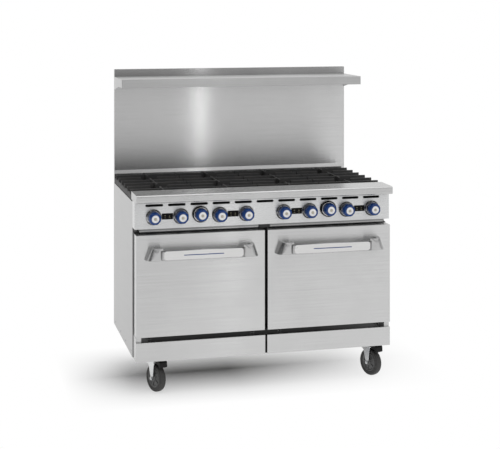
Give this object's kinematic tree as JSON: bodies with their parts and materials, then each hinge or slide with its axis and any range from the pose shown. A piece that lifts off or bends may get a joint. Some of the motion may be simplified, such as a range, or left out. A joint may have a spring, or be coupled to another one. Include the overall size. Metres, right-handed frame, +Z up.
{
  "type": "commercial gas range",
  "caption": "Stainless restaurant gas range on casters: open burners under cast grates, drop-down oven doors, control knobs, backguard and high shelf.",
  "frame": {"origin": "on the floor, at the middle of the footprint that runs from the door grips to the rear edge", "axes": "+X to the cook's right, +Y to the wall behind the range, +Z up"},
  "size_m": [1.2192, 0.829, 1.448],
  "materials": {
    "stainless": "brushed",
    "galvanised": "dull",
    "black_enamel": "satin",
    "oven_enamel": "gloss",
    "cast_iron": "matte",
    "chrome": "polished",
    "blue_plastic": "gloss",
    "brass": "satin",
    "pipe_black": "satin",
    "label_black": "satin",
    "mineral_wool": "matte",
    "zinc": "bright zinc",
    "caster_tyre": "matte",
    "pedal_black": "satin"
  },
  "bodies": {
    "range_body": {"base_frame": "black_enamel", "side_panels": "stainless", "rear_panel": "galvanised", "front_frame": "stainless", "kick_plates": "stainless", "control_panel": "stainless", "landing_ledge": "stainless", "top_frame": "black_enamel", "backguard": "stainless", "high_shelf": "stainless", "shelf_brackets": "stainless", "gas_manifold": "pipe_black", "gas_valves": "brass", "control_bezels": "chrome", "label_plates": "label_black", "top_burners": "cast_iron", "pilot_burners": "galvanised", "oven_liners": "oven_enamel", "oven_floors": "oven_enamel", "oven_burners": "cast_iron", "oven_racks": "chrome", "oven_insulation": "mineral_wool", "caster_plates": "zinc", "caster_bolts": "zinc"},
    "door_left": {"door_shell_left": "stainless", "door_inner_left": "oven_enamel", "door_handle_left": "chrome"},
    "crumb_tray_left": {"crumb_tray_left": "galvanised"},
    "thermostat_left": {"thermostat_knob_left": "blue_plastic"},
    "door_right": {"door_shell_right": "stainless", "door_inner_right": "oven_enamel", "door_handle_right": "chrome"},
    "crumb_tray_right": {"crumb_tray_right": "galvanised"},
    "thermostat_right": {"thermostat_knob_right": "blue_plastic"},
    "knob_far_left_front": {"burner_knob_far_left_front": "blue_plastic"},
    "grate_far_left_front": {"grate_far_left_front": "cast_iron"},
    "knob_far_left_rear": {"burner_knob_far_left_rear": "blue_plastic"},
    "grate_far_left_rear": {"grate_far_left_rear": "cast_iron"},
    "knob_left_front": {"burner_knob_left_front": "blue_plastic"},
    "grate_left_front": {"grate_left_front": "cast_iron"},
    "knob_left_rear": {"burner_knob_left_rear": "blue_plastic"},
    "grate_left_rear": {"grate_left_rear": "cast_iron"},
    "knob_right_front": {"burner_knob_right_front": "blue_plastic"},
    "grate_right_front": {"grate_right_front": "cast_iron"},
    "knob_right_rear": {"burner_knob_right_rear": "blue_plastic"},
    "grate_right_rear": {"grate_right_rear": "cast_iron"},
    "knob_far_right_front": {"burner_knob_far_right_front": "blue_plastic"},
    "grate_far_right_front": {"grate_far_right_front": "cast_iron"},
    "knob_far_right_rear": {"burner_knob_far_right_rear": "blue_plastic"},
    "grate_far_right_rear": {"grate_far_right_rear": "cast_iron"},
    "caster_fork_front_left": {"caster_fork_front_left": "zinc"},
    "caster_wheel_front_left": {"caster_wheel_front_left": "caster_tyre"},
    "brake_pedal_front_left": {"brake_pedal_front_left": "pedal_black"},
    "caster_fork_front_right": {"caster_fork_front_right": "zinc"},
    "caster_wheel_front_right": {"caster_wheel_front_right": "caster_tyre"},
    "brake_pedal_front_right": {"brake_pedal_front_right": "pedal_black"},
    "caster_fork_rear_left": {"caster_fork_rear_left": "zinc"},
    "caster_wheel_rear_left": {"caster_wheel_rear_left": "caster_tyre"},
    "caster_fork_rear_right": {"caster_fork_rear_right": "zinc"},
    "caster_wheel_rear_right": {"caster_wheel_rear_right": "caster_tyre"}
  },
  "joints": [
    {"name": "door_left", "type": "hinge", "parent": "range_body", "child": "door_left", "pos_m": [-0.3048, -0.3415, 0.26], "axis": [1, 0, 0], "range_deg": [0, 90]},
    {"name": "crumb_tray_left", "type": "slide", "parent": "range_body", "child": "crumb_tray_left", "axis": [0, -1, 0], "range_m": [0, 0.45]},
    {"name": "thermostat_left", "type": "hinge", "parent": "range_body", "child": "thermostat_left", "pos_m": [-0.306, -0.355, 0.814], "axis": [0, -1, 0], "range_deg": [0, 270]},
    {"name": "door_right", "type": "hinge", "parent": "range_body", "child": "door_right", "pos_m": [0.3048, -0.3415, 0.26], "axis": [1, 0, 0], "range_deg": [0, 90]},
    {"name": "crumb_tray_right", "type": "slide", "parent": "range_body", "child": "crumb_tray_right", "axis": [0, -1, 0], "range_m": [0, 0.45]},
    {"name": "thermostat_right", "type": "hinge", "parent": "range_body", "child": "thermostat_right", "pos_m": [0.306, -0.355, 0.814], "axis": [0, -1, 0], "range_deg": [0, 270]},
    {"name": "knob_far_left_front", "type": "hinge", "parent": "range_body", "child": "knob_far_left_front", "pos_m": [-0.523, -0.355, 0.8075], "axis": [0, -1, 0], "range_deg": [0, 90]},
    {"name": "grate_far_left_front", "type": "slide", "parent": "range_body", "child": "grate_far_left_front", "axis": [0, 0, 1], "range_m": [0, 0.1]},
    {"name": "knob_far_left_rear", "type": "hinge", "parent": "range_body", "child": "knob_far_left_rear", "pos_m": [-0.397, -0.355, 0.8075], "axis": [0, -1, 0], "range_deg": [0, 90]},
    {"name": "grate_far_left_rear", "type": "slide", "parent": "range_body", "child": "grate_far_left_rear", "axis": [0, 0, 1], "range_m": [0, 0.1]},
    {"name": "knob_left_front", "type": "hinge", "parent": "range_body", "child": "knob_left_front", "pos_m": [-0.2154, -0.355, 0.8075], "axis": [0, -1, 0], "range_deg": [0, 90]},
    {"name": "grate_left_front", "type": "slide", "parent": "range_body", "child": "grate_left_front", "axis": [0, 0, 1], "range_m": [0, 0.1]},
    {"name": "knob_left_rear", "type": "hinge", "parent": "range_body", "child": "knob_left_rear", "pos_m": [-0.0894, -0.355, 0.8075], "axis": [0, -1, 0], "range_deg": [0, 90]},
    {"name": "grate_left_rear", "type": "slide", "parent": "range_body", "child": "grate_left_rear", "axis": [0, 0, 1], "range_m": [0, 0.1]},
    {"name": "knob_right_front", "type": "hinge", "parent": "range_body", "child": "knob_right_front", "pos_m": [0.0894, -0.355, 0.8075], "axis": [0, -1, 0], "range_deg": [0, 90]},
    {"name": "grate_right_front", "type": "slide", "parent": "range_body", "child": "grate_right_front", "axis": [0, 0, 1], "range_m": [0, 0.1]},
    {"name": "knob_right_rear", "type": "hinge", "parent": "range_body", "child": "knob_right_rear", "pos_m": [0.2154, -0.355, 0.8075], "axis": [0, -1, 0], "range_deg": [0, 90]},
    {"name": "grate_right_rear", "type": "slide", "parent": "range_body", "child": "grate_right_rear", "axis": [0, 0, 1], "range_m": [0, 0.1]},
    {"name": "knob_far_right_front", "type": "hinge", "parent": "range_body", "child": "knob_far_right_front", "pos_m": [0.397, -0.355, 0.8075], "axis": [0, -1, 0], "range_deg": [0, 90]},
    {"name": "grate_far_right_front", "type": "slide", "parent": "range_body", "child": "grate_far_right_front", "axis": [0, 0, 1], "range_m": [0, 0.1]},
    {"name": "knob_far_right_rear", "type": "hinge", "parent": "range_body", "child": "knob_far_right_rear", "pos_m": [0.523, -0.355, 0.8075], "axis": [0, -1, 0], "range_deg": [0, 90]},
    {"name": "grate_far_right_rear", "type": "slide", "parent": "range_body", "child": "grate_far_right_rear", "axis": [0, 0, 1], "range_m": [0, 0.1]},
    {"name": "swivel_front_left", "type": "hinge", "parent": "range_body", "child": "caster_fork_front_left", "pos_m": [-0.519, -0.248, 0.13], "axis": [0, 0, 1], "continuous": true},
    {"name": "wheel_front_left", "type": "hinge", "parent": "caster_fork_front_left", "child": "caster_wheel_front_left", "pos_m": [-0.50395, -0.2818, 0.0635], "axis": [0.9135, 0.4067, 0], "continuous": true},
    {"name": "brake_front_left", "type": "hinge", "parent": "caster_fork_front_left", "child": "brake_pedal_front_left", "pos_m": [-0.5011, -0.2882, 0.138], "axis": [0.9135, 0.4067, 0], "range_deg": [0, 8]},
    {"name": "swivel_front_right", "type": "hinge", "parent": "range_body", "child": "caster_fork_front_right", "pos_m": [0.519, -0.248, 0.13], "axis": [0, 0, 1], "continuous": true},
    {"name": "wheel_front_right", "type": "hinge", "parent": "caster_fork_front_right", "child": "caster_wheel_front_right", "pos_m": [0.53405, -0.2818, 0.0635], "axis": [0.9135, 0.4067, 0], "continuous": true},
    {"name": "brake_front_right", "type": "hinge", "parent": "caster_fork_front_right", "child": "brake_pedal_front_right", "pos_m": [0.5369, -0.2882, 0.138], "axis": [0.9135, 0.4067, 0], "range_deg": [0, 8]},
    {"name": "swivel_rear_left", "type": "hinge", "parent": "range_body", "child": "caster_fork_rear_left", "pos_m": [-0.519, 0.3, 0.13], "axis": [0, 0, 1], "continuous": true},
    {"name": "wheel_rear_left", "type": "hinge", "parent": "caster_fork_rear_left", "child": "caster_wheel_rear_left", "pos_m": [-0.50395, 0.2662, 0.0635], "axis": [0.9135, 0.4067, 0], "continuous": true},
    {"name": "swivel_rear_right", "type": "hinge", "parent": "range_body", "child": "caster_fork_rear_right", "pos_m": [0.519, 0.3, 0.13], "axis": [0, 0, 1], "continuous": true},
    {"name": "wheel_rear_right", "type": "hinge", "parent": "caster_fork_rear_right", "child": "caster_wheel_rear_right", "pos_m": [0.53405, 0.2662, 0.0635], "axis": [0.9135, 0.4067, 0], "continuous": true}
  ]
}
